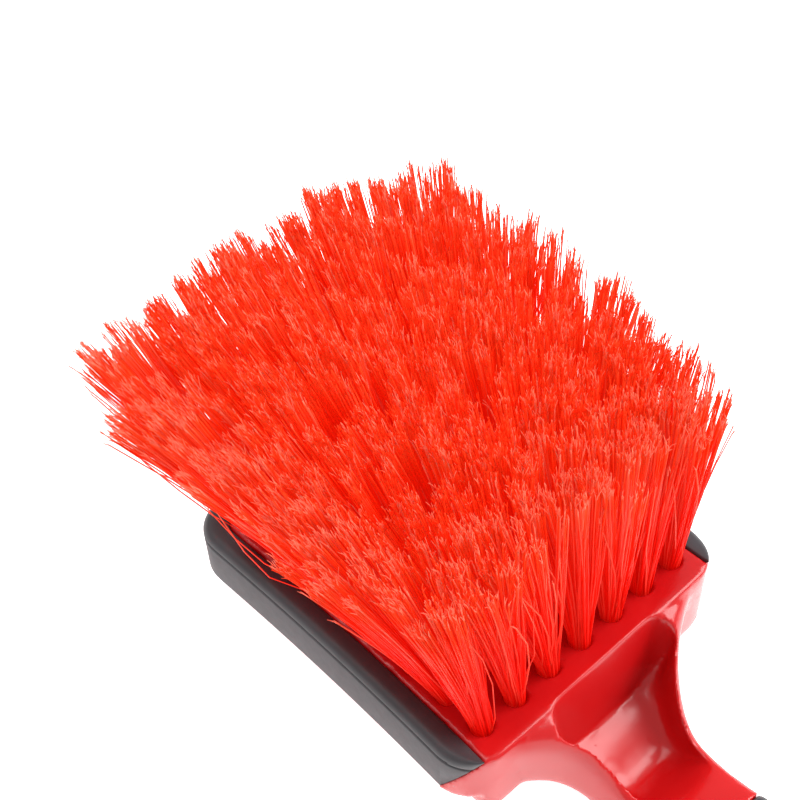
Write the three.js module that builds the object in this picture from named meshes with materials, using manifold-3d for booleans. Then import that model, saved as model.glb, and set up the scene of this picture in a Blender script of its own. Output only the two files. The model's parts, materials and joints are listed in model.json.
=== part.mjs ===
// Wheel brush for car rims: a red injection-moulded head and handle in one piece, a soft black bumper
// round the head, a soft black grip on the handle, and rows of flagged filament tufts.
// Millimetres, +Z up. The brush lies on its back on z = 0, bristles up, with the handle along +X:
// it rests on the flat back of the grip and on the far back edge of the tilted head.
// The origin is at the centre of the bottom of the brush's bounding box.

import * as THREE from "three";
import { mergeVertices } from "three/addons/utils/BufferGeometryUtils.js";
import Module from "manifold-3d";

// Tufts, counted and pitched in the head's own frame.
const COLUMNS = 7;
const ROWS = 8;
const COLUMN_PITCH = 9;
const ROW_PITCH = 9.2;
const HOLE_DIAMETER = 4.6;
const HOLE_DEPTH = 12;
const BRISTLE_LENGTH = 58;
const SIDE_LEAN = THREE.MathUtils.degToRad(18.5);
const NEAR_LEAN = THREE.MathUtils.degToRad(0);
const FAR_LEAN = THREE.MathUtils.degToRad(22);
const TUFT_SIDES = 10;

// Head: margins run from the centres of the outer tufts to the edge of the red core.
const HEAD_THICKNESS = 22;
const HEAD_TILT = THREE.MathUtils.degToRad(7);
const SIDE_MARGIN = 5;
const NEAR_MARGIN = 7.1;
const FAR_MARGIN = 7.5;
const NEAR_CORNER_RADIUS = 9.5;
const FAR_CORNER_RADIUS = 8;
const CORE_CORNER_RADIUS = 4.5;
const WAIST = 0.8;
const FACE_EDGE_ROUND = 1;
const BACK_EDGE_ROUND = 4;

// Bumper.
const BUMPER_THICKNESS = 5;
const BUMPER_HEIGHT = 14.5;
const BUMPER_EDGE_ROUND = 2.2;
const BUMPER_END_SLOPE = THREE.MathUtils.degToRad(30);

// Neck and its scooped recess on the bristle side.
const NECK_WIDTH = 19.2;
const NECK_THICKNESS = 13;
const NECK_LENGTH = 21;
const SHOULDER_FLARE = 6.8;
const SHOULDER_DROP = 0.7;
const RECESS_WIDTH = 33;
const RECESS_LENGTH = 27;
const RECESS_WALL = 2.2;
const RECESS_FLOOR = 3;
const RECESS_CORNER = 4;
const RECESS_POWER = 0.45;
const END_WALL_SETBACK = 1;
const END_WALL_DRAFT = THREE.MathUtils.degToRad(7);

// Handle, measured from the neck's narrowest point.
const HANDLE_LENGTH = 146;
const HANDLE_WIDTH = 27;
const HANDLE_THICKNESS = 21;
const HANDLE_TAPER = 42;
const PALM_SWELL = 3;
const END_FLARE = 3;
const END_FLARE_LENGTH = 34;
const END_ROUND = 15;
const GRIP_START = 14;
const GRIP_LENGTH = 108;
const GRIP_WALL = 2.2;
const BACK_FLAT_CUT = 1.2;
const HANG_HOLE_DIAMETER = 9;
const HANG_HOLE_FROM_END = 11;

// Clearance between touching pieces.
const GAP = 0.3;

const wasm = await Module();
wasm.setup();

// A closed geometry as a solid that can be joined and cut.
function toSolid(geometry) {
  const bare = geometry.clone();
  bare.deleteAttribute("normal");
  bare.deleteAttribute("uv");
  const merged = mergeVertices(bare, 1e-4);
  return new wasm.Manifold(new wasm.Mesh({
    numProp: 3,
    vertProperties: new Float32Array(merged.attributes.position.array),
    triVerts: new Uint32Array(merged.index.array),
  }));
}

function toGeometry(solid) {
  const mesh = solid.getMesh();
  const geometry = new THREE.BufferGeometry();
  geometry.setAttribute("position", new THREE.BufferAttribute(mesh.vertProperties, 3));
  geometry.setIndex(new THREE.BufferAttribute(mesh.triVerts, 1));
  geometry.computeVertexNormals();
  return geometry;
}

// Goes smoothly from 0 to 1 as t goes from 0 to 1, and stays flat outside.
function ease(t) {
  return (1 - Math.cos(Math.PI * THREE.MathUtils.clamp(t, 0, 1))) / 2;
}

// Skins closed rings of equal point counts, in order, with a flat fan on the first and the last ring.
function skin(rings) {
  const sides = rings[0].length;
  const points = rings.flat();
  const index = [];
  for (let ring = 0; ring < rings.length - 1; ring += 1) {
    for (let side = 0; side < sides; side += 1) {
      const a = ring * sides + side;
      const b = ring * sides + (side + 1) % sides;
      index.push(a, b, b + sides, a, b + sides, a + sides);
    }
  }
  const last = (rings.length - 1) * sides;
  for (let side = 1; side < sides - 1; side += 1) {
    index.push(0, side + 1, side);
    index.push(last, last + side, last + side + 1);
  }
  const geometry = new THREE.BufferGeometry().setFromPoints(points);
  geometry.setIndex(index);
  return geometry;
}

// Where the head's edges and tufts lie in its own frame: the origin is at the middle of its flat back,
// +X runs towards the handle and +Z through the bristles.
const tuftSpan = (ROWS - 1) * ROW_PITCH;
const coreHalfWidth = (COLUMNS - 1) / 2 * COLUMN_PITCH + SIDE_MARGIN;
const coreLength = FAR_MARGIN + tuftSpan + NEAR_MARGIN;
const nearEdge = (coreLength + BUMPER_THICKNESS) / 2;
const nearRow = nearEdge - NEAR_MARGIN;
const coreFarEdge = nearEdge - coreLength;
const headHalfWidth = coreHalfWidth + BUMPER_THICKNESS;
const headFarEdge = coreFarEdge - BUMPER_THICKNESS;
const backFarEdge = coreFarEdge + BACK_EDGE_ROUND;
const bumperLow = HEAD_THICKNESS - BUMPER_HEIGHT;
const nearCornerMiddle = nearEdge - NEAR_CORNER_RADIUS;
const cornerInset = NEAR_CORNER_RADIUS - BUMPER_THICKNESS;

// The head's place: its near end is lifted about the far edge of its back until it meets the handle.
const headMatrix = new THREE.Matrix4()
  .makeRotationY(-HEAD_TILT)
  .setPosition(0, 0, -backFarEdge * Math.sin(HEAD_TILT));
const ridge = new THREE.Vector3(nearEdge, 0, HEAD_THICKNESS).applyMatrix4(headMatrix);
const backNearEdge = new THREE.Vector3(nearEdge - BACK_EDGE_ROUND, 0, 0).applyMatrix4(headMatrix);

// Rounded rectangle with gently waisted sides. The corners at its near end have their own radius.
function headOutline(halfWidth, farEdge, farRadius, nearLimit, nearRadius) {
  const outline = new THREE.Shape();
  const middle = (farEdge + nearLimit) / 2;
  outline.moveTo(farEdge, -halfWidth + farRadius);
  outline.absarc(farEdge + farRadius, -halfWidth + farRadius, farRadius, Math.PI, Math.PI * 1.5);
  outline.quadraticCurveTo(middle, -halfWidth + 2 * WAIST, nearLimit - nearRadius, -halfWidth);
  outline.absarc(nearLimit - nearRadius, -halfWidth + nearRadius, nearRadius, -Math.PI / 2, 0);
  outline.lineTo(nearLimit, halfWidth - nearRadius);
  outline.absarc(nearLimit - nearRadius, halfWidth - nearRadius, nearRadius, 0, Math.PI / 2);
  outline.quadraticCurveTo(middle, halfWidth - 2 * WAIST, farEdge + farRadius, halfWidth);
  outline.absarc(farEdge + farRadius, halfWidth - farRadius, farRadius, Math.PI / 2, Math.PI);
  return outline;
}

// A slab of an outline from z = low to z = high, with both edges rounded, or sharp if round is 0.
function slab(outline, low, high, round, steps) {
  const geometry = new THREE.ExtrudeGeometry(outline, {
    depth: high - low - 2 * round,
    bevelEnabled: round > 0,
    bevelThickness: round,
    bevelSize: round,
    bevelOffset: -round,
    bevelSegments: steps,
    curveSegments: 6,
  });
  geometry.translate(0, 0, low + round);
  return toSolid(geometry);
}

// The outline of the whole head, bumper and all.
function outerOutline() {
  return headOutline(headHalfWidth, headFarEdge, FAR_CORNER_RADIUS, nearEdge, NEAR_CORNER_RADIUS);
}

// The line between core and bumper, which runs out past the near end. Grown outwards by margin.
function parting(margin) {
  const radius = CORE_CORNER_RADIUS + margin;
  return headOutline(coreHalfWidth + margin, coreFarEdge - margin, radius, nearEdge + radius, radius);
}

// Everything in front of the sloping planes where the bumper's two ends meet the core. They start at
// the near corners on the face and fall back towards the far end. Moved back by margin.
function nearCorners(margin) {
  const across = nearCornerMiddle + Math.sqrt(NEAR_CORNER_RADIUS ** 2 - cornerInset ** 2);
  const size = 2 * coreLength;
  const geometry = new THREE.BoxGeometry(size, 2 * size, 2 * size);
  geometry.translate(size / 2, 0, 0);
  geometry.rotateY(BUMPER_END_SLOPE);
  geometry.translate(across - margin, 0, HEAD_THICKNESS);
  return toSolid(geometry);
}

// Place of a tuft in the head's frame, and how far it leans for each millimetre of height.
function tuftAt(row, column) {
  const across = column - (COLUMNS - 1) / 2;
  const leanNear = Math.tan(NEAR_LEAN);
  const leanFar = Math.tan(FAR_LEAN);
  return {
    x: nearRow - row * ROW_PITCH,
    y: across * COLUMN_PITCH,
    leanX: -(leanNear + (leanFar - leanNear) * row / (ROWS - 1)),
    leanY: Math.tan(SIDE_LEAN) * across / ((COLUMNS - 1) / 2),
  };
}

// Blind holes for the tufts, drilled square to the face.
function tuftHoles() {
  const drill = new THREE.CylinderGeometry(HOLE_DIAMETER / 2, HOLE_DIAMETER / 2, HOLE_DEPTH + 1, TUFT_SIDES);
  drill.rotateX(Math.PI / 2);
  drill.translate(0, 0, HEAD_THICKNESS + 1 - (HOLE_DEPTH + 1) / 2);
  const hole = toSolid(drill);
  const holes = [];
  for (let row = 0; row < ROWS; row += 1) {
    for (let column = 0; column < COLUMNS; column += 1) {
      const tuft = tuftAt(row, column);
      holes.push(hole.translate([tuft.x, tuft.y, 0]));
    }
  }
  return wasm.Manifold.union(holes);
}

// The head without its neck: straight sides behind the bumper and a broadly rounded flat back.
function headCore() {
  const block = slab(outerOutline(), 0, HEAD_THICKNESS, FACE_EDGE_ROUND, 2);
  const inside = slab(parting(0), 0, HEAD_THICKNESS + 2 * BACK_EDGE_ROUND, BACK_EDGE_ROUND, 3);
  const corners = slab(outerOutline(), bumperLow, HEAD_THICKNESS, BUMPER_EDGE_ROUND, 3);
  return block.intersect(inside).add(corners.intersect(nearCorners(0)));
}

// The handle's lengthwise profiles, as functions of x in the brush's frame.
const neckX = ridge.x + NECK_LENGTH;
const handleEnd = neckX + HANDLE_LENGTH;
const gripStartX = neckX + GRIP_START;
const gripEndX = gripStartX + GRIP_LENGTH;
const shoulderHalfWidth = headHalfWidth - NEAR_CORNER_RADIUS;

function taperAt(x) {
  return ease((x - neckX) / HANDLE_TAPER);
}

// What the palm swell and the flared end add to the handle's width and thickness.
function swellAt(x) {
  const palm = ease((x - gripStartX) / GRIP_LENGTH * 2) * ease((gripEndX - x) / GRIP_LENGTH * 2);
  return PALM_SWELL * palm + END_FLARE * ease((x - handleEnd + END_FLARE_LENGTH) / END_FLARE_LENGTH);
}

function halfWidthAt(x) {
  const flare = Math.exp(-Math.max(x - ridge.x, 0) / SHOULDER_FLARE);
  return NECK_WIDTH / 2 + (shoulderHalfWidth - NECK_WIDTH / 2) * flare
    + (HANDLE_WIDTH - NECK_WIDTH) / 2 * taperAt(x) + swellAt(x) / 2;
}

// The back falls from the head's back to the table, and goes a little below it before it is cut flat.
function backAt(x) {
  const fall = ease((x - backNearEdge.x) / (neckX - backNearEdge.x));
  return THREE.MathUtils.lerp(backNearEdge.z + 0.5, -BACK_FLAT_CUT, fall);
}

function frontAt(x) {
  const rise = (HANDLE_THICKNESS - NECK_THICKNESS) * taperAt(x) + swellAt(x);
  const fall = ease((x - ridge.x) / NECK_LENGTH);
  return THREE.MathUtils.lerp(ridge.z - SHOULDER_DROP, NECK_THICKNESS, fall) + rise;
}

// Boxy at the neck, rounder in the hand.
function squarenessAt(x) {
  return THREE.MathUtils.lerp(6, 2.6, taperAt(x));
}

// One superelliptic ring of the handle at x, shrunk on every side by inset.
function handleRing(x, inset, scale) {
  const points = [];
  const sides = 20;
  const halfWidth = (halfWidthAt(x) - inset) * scale;
  const halfHeight = ((frontAt(x) - backAt(x)) / 2 - inset) * scale;
  const middle = (frontAt(x) + backAt(x)) / 2;
  const power = 2 / squarenessAt(x);
  for (let side = 0; side < sides; side += 1) {
    const angle = (side + 0.5) / sides * 2 * Math.PI;
    const y = halfWidth * Math.sign(Math.cos(angle)) * Math.abs(Math.cos(angle)) ** power;
    const z = middle + halfHeight * Math.sign(Math.sin(angle)) * Math.abs(Math.sin(angle)) ** power;
    points.push(new THREE.Vector3(x, y, z));
  }
  return points;
}

// The whole handle, from inside the head to its rounded end, shrunk on every side by inset.
function handleLoft(inset) {
  const rings = [handleRing(ridge.x - NEAR_MARGIN, inset + 2 * SHOULDER_DROP, 1)];
  const neckSteps = 10;
  for (let step = 0; step < neckSteps; step += 1) {
    rings.push(handleRing(ridge.x + NECK_LENGTH * step / neckSteps, inset, 1));
  }
  const straight = HANDLE_LENGTH - END_ROUND;
  const straightSteps = 12;
  for (let step = 0; step < straightSteps; step += 1) {
    rings.push(handleRing(neckX + straight * step / straightSteps, inset, 1));
  }
  const endSteps = 5;
  const lastTurn = THREE.MathUtils.degToRad(78);
  for (let step = 0; step <= endSteps; step += 1) {
    const turn = lastTurn * step / endSteps;
    const along = Math.sin(turn) / Math.sin(lastTurn);
    rings.push(handleRing(handleEnd - END_ROUND + (END_ROUND - inset) * along, inset, Math.cos(turn)));
  }
  return toSolid(skin(rings));
}

// The neck's recess: a U-shaped scoop with a flat, drafted wall at the head, fading out at the neck.
function recess() {
  const rings = [];
  const steps = 10;
  const sides = 12;
  const start = ridge.x - END_WALL_SETBACK;
  for (let step = 0; step <= steps; step += 1) {
    const along = RECESS_LENGTH * (step / steps) ** 1.5;
    const x = start + along;
    const corner = RECESS_CORNER - Math.sqrt(RECESS_CORNER ** 2 - Math.max(RECESS_CORNER - along, 0) ** 2);
    const halfWidth = (px) => Math.min(RECESS_WIDTH / 2, halfWidthAt(px) - RECESS_WALL) - corner;
    const floor = backAt(x) + RECESS_FLOOR;
    const depth = (frontAt(Math.max(x, ridge.x)) - floor) * (1 - ease(along / RECESS_LENGTH) ** 3) + 0.5;
    const rim = frontAt(Math.max(x, ridge.x)) + 2;
    const draft = Math.tan(END_WALL_DRAFT + HEAD_TILT) * (1 - along / RECESS_LENGTH);
    const ring = [];
    for (let side = 0; side <= sides; side += 1) {
      const angle = Math.PI * side / sides;
      const cosine = Math.cos(angle);
      const z = rim - 2 - depth * Math.abs(Math.sin(angle)) ** RECESS_POWER;
      const px = x + (ridge.z - z) * draft;
      const y = -halfWidth(px) * Math.sign(cosine) * Math.abs(cosine) ** RECESS_POWER;
      ring.push(new THREE.Vector3(px, y, z));
    }
    const top = rim + HEAD_THICKNESS;
    const topX = x + (ridge.z - top) * draft;
    for (const y of [halfWidth(topX), -halfWidth(topX)]) {
      ring.push(new THREE.Vector3(topX, y, top));
    }
    rings.push(ring);
  }
  return toSolid(skin(rings));
}

// A box between two corners.
function block(low, high) {
  const geometry = new THREE.BoxGeometry(high.x - low.x, high.y - low.y, high.z - low.z);
  geometry.translate((high.x + low.x) / 2, (high.y + low.y) / 2, (high.z + low.z) / 2);
  return toSolid(geometry);
}

// Everything across the handle between two values of x.
function acrossHandle(fromX, toX) {
  return block(
    new THREE.Vector3(fromX, -HANDLE_WIDTH, -HANDLE_THICKNESS),
    new THREE.Vector3(toX, HANDLE_WIDTH, 2 * HANDLE_THICKNESS),
  );
}

// Everything below the table.
function belowTable() {
  return block(
    new THREE.Vector3(backNearEdge.x, -HANDLE_WIDTH, -HANDLE_THICKNESS),
    new THREE.Vector3(handleEnd + END_ROUND, HANDLE_WIDTH, 0),
  );
}

// The hole near the handle's end that the brush hangs by.
function hangHole() {
  const radius = HANG_HOLE_DIAMETER / 2;
  const drill = new THREE.CylinderGeometry(radius, radius, 4 * HANDLE_THICKNESS, 20);
  drill.rotateX(Math.PI / 2);
  drill.translate(handleEnd - HANG_HOLE_FROM_END, 0, 0);
  return toSolid(drill);
}

// Head and handle, one moulding in glossy red polypropylene, thinned where the grip goes over it.
function brushBodyGeometry() {
  const head = headCore().subtract(tuftHoles());
  const placedHead = toSolid(toGeometry(head).applyMatrix4(headMatrix));
  const handle = handleLoft(0)
    .subtract(acrossHandle(gripStartX, gripEndX))
    .add(handleLoft(GRIP_WALL + GAP).intersect(acrossHandle(neckX, handleEnd - END_ROUND)));
  return toGeometry(placedHead.add(handle.subtract(tuftHolesInPlace())).subtract(recess())
    .subtract(belowTable()).subtract(hangHole()));
}

// The tuft holes where they lie in the brush's frame.
function tuftHolesInPlace() {
  return toSolid(toGeometry(tuftHoles()).applyMatrix4(headMatrix));
}

// Soft sleeve moulded over the handle, flat on its back.
function gripGeometry() {
  return toGeometry(handleLoft(0)
    .intersect(acrossHandle(gripStartX + GAP, gripEndX - GAP))
    .subtract(handleLoft(GRIP_WALL))
    .subtract(belowTable()));
}

// Soft band round the far end and both sides of the head. Each end slopes up to a point on the face.
function bumperGeometry() {
  const band = slab(outerOutline(), bumperLow, HEAD_THICKNESS, BUMPER_EDGE_ROUND, 3);
  return toGeometry(band
    .subtract(slab(parting(GAP), 0, 2 * HEAD_THICKNESS, 0, 0))
    .subtract(nearCorners(GAP)));
}

// A tuft as one solid: a plug in its hole, then a flaring cone that leans outwards. Every cone keeps
// the same flare, so that neighbours stay GAP apart at every height.
function tuftGeometry(tuft) {
  const height = BRISTLE_LENGTH / Math.hypot(1, tuft.leanX, tuft.leanY);
  const plugRadius = HOLE_DIAMETER / 2 - GAP;
  const rowFan = (Math.tan(FAR_LEAN) - Math.tan(NEAR_LEAN)) / (ROWS - 1);
  const columnFan = Math.tan(SIDE_LEAN) / ((COLUMNS - 1) / 2);
  const flareX = ((ROW_PITCH - GAP) / 2 - plugRadius) / BRISTLE_LENGTH + rowFan / 2;
  const flareY = ((COLUMN_PITCH - GAP) / 2 - plugRadius) / BRISTLE_LENGTH + columnFan / 2;
  const rings = [-HOLE_DEPTH + GAP, 0, height].map((z) => {
    const above = Math.max(z, 0);
    const ring = [];
    for (let side = 0; side < TUFT_SIDES; side += 1) {
      const angle = side / TUFT_SIDES * 2 * Math.PI;
      ring.push(new THREE.Vector3(
        above * tuft.leanX + (plugRadius + above * flareX) * Math.sin(angle),
        above * tuft.leanY - (plugRadius + above * flareY) * Math.cos(angle),
        z,
      ));
    }
    return ring;
  });
  return skin(rings);
}

const redPlastic = { color: 0xd3151b, roughness: 0.28, metalness: 0 };
const blackRubber = { color: 0x2b282b, roughness: 0.6, metalness: 0 };
const bristle = { color: 0xf0351f, roughness: 0.5, metalness: 0 };

function piece(name, geometry, finish) {
  geometry.computeVertexNormals();
  const mesh = new THREE.Mesh(geometry, new THREE.MeshStandardMaterial(finish));
  mesh.name = name;
  return mesh;
}

const head = new THREE.Group();
head.applyMatrix4(headMatrix);
head.add(piece("bumper", bumperGeometry(), blackRubber));
for (let row = 0; row < ROWS; row += 1) {
  for (let column = 0; column < COLUMNS; column += 1) {
    const tuft = tuftAt(row, column);
    const mesh = piece(`tuft_r${row + 1}_c${column + 1}`, tuftGeometry(tuft), bristle);
    mesh.position.set(tuft.x, tuft.y, HEAD_THICKNESS);
    head.add(mesh);
  }
}

const brush = new THREE.Group();
brush.add(head);
brush.add(piece("brush_body", brushBodyGeometry(), redPlastic));
brush.add(piece("handle_grip", gripGeometry(), blackRubber));

const bounds = new THREE.Box3().setFromObject(brush, true);
brush.position.set(-(bounds.min.x + bounds.max.x) / 2, 0, -bounds.min.z);

export default brush;
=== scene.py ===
"""Wheel brush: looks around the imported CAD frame. Metres, +Z up, bristles up, handle along +X."""

import json
import math

import bpy
import numpy as np
from mathutils import Matrix, Vector


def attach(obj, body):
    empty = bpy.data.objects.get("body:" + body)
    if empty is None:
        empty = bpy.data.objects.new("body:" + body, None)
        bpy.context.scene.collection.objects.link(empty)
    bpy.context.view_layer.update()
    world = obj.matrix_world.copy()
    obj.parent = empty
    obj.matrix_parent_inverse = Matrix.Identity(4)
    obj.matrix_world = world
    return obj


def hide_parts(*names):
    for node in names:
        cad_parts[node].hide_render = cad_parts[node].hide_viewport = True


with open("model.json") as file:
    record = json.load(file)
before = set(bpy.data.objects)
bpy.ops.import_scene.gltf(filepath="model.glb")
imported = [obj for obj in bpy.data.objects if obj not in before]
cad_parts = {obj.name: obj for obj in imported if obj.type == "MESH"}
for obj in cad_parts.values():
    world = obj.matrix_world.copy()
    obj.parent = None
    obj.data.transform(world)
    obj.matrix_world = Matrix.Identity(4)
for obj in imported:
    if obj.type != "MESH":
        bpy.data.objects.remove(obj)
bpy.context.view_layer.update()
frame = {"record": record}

# ---------------------------------------------------------------------------------------------
# The head's own frame. The brush lies on its back with its head tilted, so the tufts, the bumper
# and the camera are placed in a frame with its origin at the middle of the head's flat back, +X
# towards the handle and +Z through the bristles.
# ---------------------------------------------------------------------------------------------
MM = 0.001
head_back = next(m for m in frame["record"]["mounts"] if m["name"] == "head_back")
head_origin = np.array(head_back["pos_m"], float)
head_up = -np.array(head_back["axis"], float)
head_up /= np.linalg.norm(head_up)
head_across = np.array([0.0, 1.0, 0.0])
head_along = np.cross(head_across, head_up)
head_axes = np.stack([head_along, head_across, head_up])

HEAD_THICKNESS = 22 * MM
NEAR_EDGE = 42 * MM
NEAR_ROW = 34.9 * MM


def from_head(points):
    """Points (..., 3) of the head's frame, given in the part's frame."""
    return head_origin + np.asarray(points, float) @ head_axes


def srgb(red, green, blue):
    """Linear colour of three 0-255 screen values, by the usual 2.4 power curve."""
    screen = np.array([red, green, blue]) / 255
    linear = np.where(screen <= 0.04045, screen / 12.92, ((screen + 0.055) / 1.055) ** 2.4)
    return (*linear.tolist(), 1.0)


# ---------------------------------------------------------------------------------------------
# Camera: close above the head's corner at +X and -Y, looking down from the handle's side.
# ---------------------------------------------------------------------------------------------
CAMERA_PLACE = np.array([132.17, -128.90, 271.94]) * MM
CAMERA_TARGET = np.array([-34.92, 17.61, 22.0]) * MM
CAMERA_ROLL = math.radians(2.55)
CAMERA_LENS = 67.56

camera_data = bpy.data.cameras.new("camera")
camera_data.lens = CAMERA_LENS
camera_data.sensor_width = 36
camera_data.clip_start = 0.01
camera_data.clip_end = 20
camera = bpy.data.objects.new("camera", camera_data)
bpy.context.scene.collection.objects.link(camera)
bpy.context.scene.camera = camera
sight = CAMERA_TARGET - CAMERA_PLACE
sight /= np.linalg.norm(sight)
level = np.cross(sight, [0, 0, 1])
level /= np.linalg.norm(level)
# The camera's right-hand side is level, turned about the line of sight by the roll.
right = level * math.cos(CAMERA_ROLL) + np.cross(sight, level) * math.sin(CAMERA_ROLL)
upright = np.cross(right, sight)
turn = np.stack([right @ head_axes, upright @ head_axes, -sight @ head_axes], axis=1)
camera_place = Matrix.Translation(Vector(from_head(CAMERA_PLACE)))
camera.matrix_world = camera_place @ Matrix(turn.tolist()).to_4x4()


# ---------------------------------------------------------------------------------------------
# Studio: a white table that glows a little, as a light table does, an even white surround, one
# soft box to the right of the head and a fainter one above its far end.
# ---------------------------------------------------------------------------------------------
FLOOR_SIZE = 3.0
FLOOR_LEVEL = -0.5 * MM
FLOOR_GLOW = 0.9
SURROUND = 0.62
SOFT_BOXES = (
    # name, place in metres, target, size, watts
    ("right_box", (0.30, 0.55, 0.60), (-0.05, 0.0, 0.05), 0.6, 9.0),
    ("overhead_box", (-0.35, -0.15, 0.85), (-0.05, 0.0, 0.05), 0.7, 5.0),
)


class Wire:
    """A node's output socket. Arithmetic on it adds Math nodes and gives the new output."""

    def __init__(self, paint, socket):
        self.paint = paint
        self.socket = socket

    def math(self, operation, *values):
        return self.paint.add("ShaderNodeMath", {"operation": operation}, *values)

    def __add__(self, other):
        return self.math("ADD", self, other)

    def __radd__(self, other):
        return self.math("ADD", other, self)

    def __sub__(self, other):
        return self.math("SUBTRACT", self, other)

    def __rsub__(self, other):
        return self.math("SUBTRACT", other, self)

    def __mul__(self, other):
        return self.math("MULTIPLY", self, other)

    def __rmul__(self, other):
        return self.math("MULTIPLY", other, self)

    def clamped(self):
        return self.paint.add("ShaderNodeClamp", {}, self)


class Paint:
    """A material, and one method that adds any node: its settings first, then its sockets."""

    def __init__(self, name):
        self.material = bpy.data.materials.new(name)
        self.material.use_nodes = True
        self.tree = self.material.node_tree
        self.tree.nodes.clear()

    def add(self, kind, settings, *values, output=0, **named):
        node = self.tree.nodes.new(kind)
        for key, value in settings.items():
            if key == "stops":
                ramp = node.color_ramp.elements
                while len(ramp) < len(value):
                    ramp.new(1.0)
                for stop, (position, colour) in zip(ramp, value):
                    stop.position = position
                    stop.color = colour
            else:
                setattr(node, key, value)
        pairs = list(enumerate(values)) + [(k.replace("_", " "), v) for k, v in named.items()]
        for key, value in pairs:
            if isinstance(value, Wire):
                self.tree.links.new(value.socket, node.inputs[key])
            else:
                node.inputs[key].default_value = value
        return Wire(self, node.outputs[output])

    def finish(self, shader):
        output = self.tree.nodes.new("ShaderNodeOutputMaterial")
        self.tree.links.new(shader.socket, output.inputs["Surface"])
        return self.material


def fine_grain(paint, scale, strength, distance):
    """A Bump normal from fine noise on Object coordinates, for moulded surfaces."""
    place = paint.add("ShaderNodeTexCoord", {}, output="Object")
    noise = paint.add("ShaderNodeTexNoise", {}, Vector=place, Scale=scale, Detail=3.0, Roughness=0.6)
    return paint.add(
        "ShaderNodeBump", {}, Strength=strength, Distance=distance, Height=noise, output="Normal"
    )


floor_paint = Paint("white_table")
place = floor_paint.add("ShaderNodeTexCoord", {}, output="Object")
mottle = floor_paint.add("ShaderNodeTexNoise", {}, Vector=place, Scale=3.0, Detail=2.0)
floor_colour = floor_paint.add(
    "ShaderNodeValToRGB",
    {"stops": ((0.3, srgb(244, 244, 245)), (0.7, srgb(250, 250, 250)))},
    mottle,
)
floor_material = floor_paint.finish(floor_paint.add(
    "ShaderNodeBsdfPrincipled",
    {},
    Base_Color=floor_colour,
    Roughness=0.7,
    Emission_Color=(1.0, 1.0, 1.0, 1.0),
    Emission_Strength=FLOOR_GLOW,
))
half = FLOOR_SIZE / 2
floor_mesh = bpy.data.meshes.new("floor")
floor_mesh.from_pydata(
    [(x, y, FLOOR_LEVEL) for x, y in ((-half, -half), (half, -half), (half, half), (-half, half))],
    [],
    [(0, 1, 2, 3)],
)
floor_mesh.materials.append(floor_material)
floor = bpy.data.objects.new("floor", floor_mesh)
bpy.context.scene.collection.objects.link(floor)

world = bpy.data.worlds.new("surround")
world.use_nodes = True
world.node_tree.nodes["Background"].inputs["Color"].default_value = (1.0, 1.0, 1.0, 1.0)
world.node_tree.nodes["Background"].inputs["Strength"].default_value = SURROUND
bpy.context.scene.world = world
bpy.context.scene.view_settings.view_transform = "Standard"

for name, place_of_box, target, size, watts in SOFT_BOXES:
    light = bpy.data.lights.new(name, "AREA")
    light.shape = "SQUARE"
    light.size = size
    light.energy = watts
    box = bpy.data.objects.new(name, light)
    box.location = place_of_box
    box.rotation_euler = (Vector(target) - Vector(place_of_box)).to_track_quat("-Z", "Y").to_euler()
    bpy.context.scene.collection.objects.link(box)


# ---------------------------------------------------------------------------------------------
# Red moulding: head and handle are one injection moulding in glossy red polypropylene. The head
# is a block drilled with blind holes for the tufts; a scoop is cored out of the neck behind it.
# ---------------------------------------------------------------------------------------------
CORE_HALF_WIDTH = 32 * MM
CORE_FAR_EDGE = -37 * MM
CORE_CORNER = 4.5 * MM
BUMPER_THICKNESS = 5 * MM
NEAR_CORNER = 9.5 * MM
FAR_CORNER = 8 * MM
WAIST = 0.8 * MM
FACE_EDGE_ROUND = 1.0 * MM
BACK_EDGE_ROUND = 4.0 * MM
BUMPER_HEIGHT = 14.5 * MM
BUMPER_EDGE = 2.2 * MM
BUMPER_END_SLOPE = math.radians(30)
HOLE_RADIUS = 2.3 * MM
HOLE_DEPTH = 12 * MM
HOLE_LIP = 0.25 * MM
COLUMNS, ROWS = 7, 8
COLUMN_PITCH = 9 * MM
ROW_PITCH = 9.2 * MM

NECK_WIDTH = 19.2 * MM
NECK_THICKNESS = 13 * MM
NECK_LENGTH = 21 * MM
SHOULDER_FLARE = 6.8 * MM
SHOULDER_DROP = 0.7 * MM
RECESS_WIDTH = 33 * MM
RECESS_LENGTH = 27 * MM
RECESS_WALL = 2.2 * MM
RECESS_FLOOR = 3 * MM
RECESS_CORNER = 4 * MM
RECESS_POWER = 0.45
END_WALL_SETBACK = 1 * MM
HANDLE_LENGTH = 146 * MM
HANDLE_WIDTH = 27 * MM
HANDLE_THICKNESS = 21 * MM
HANDLE_TAPER = 42 * MM
PALM_SWELL = 3 * MM
END_FLARE = 3 * MM
END_FLARE_LENGTH = 34 * MM
END_ROUND = 15 * MM
GRIP_START = 14 * MM
GRIP_LENGTH = 108 * MM
GRIP_WALL = 2.5 * MM
BACK_FLAT_CUT = 1.2 * MM
HANG_HOLE_RADIUS = 4.5 * MM
HANG_HOLE_FROM_END = 11 * MM
MOULDING_VOXEL = 0.4 * MM
RECESS_DRAFT = math.radians(14)
NECK_SQUARENESS = 6
GRIP_SQUARENESS = 2.6
HANDLE_SIDES = 96
EDGE_STEPS = 8
TABLE_CUT_REACH = 30 * MM
MOULDING_RED = srgb(190, 19, 21)

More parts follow.
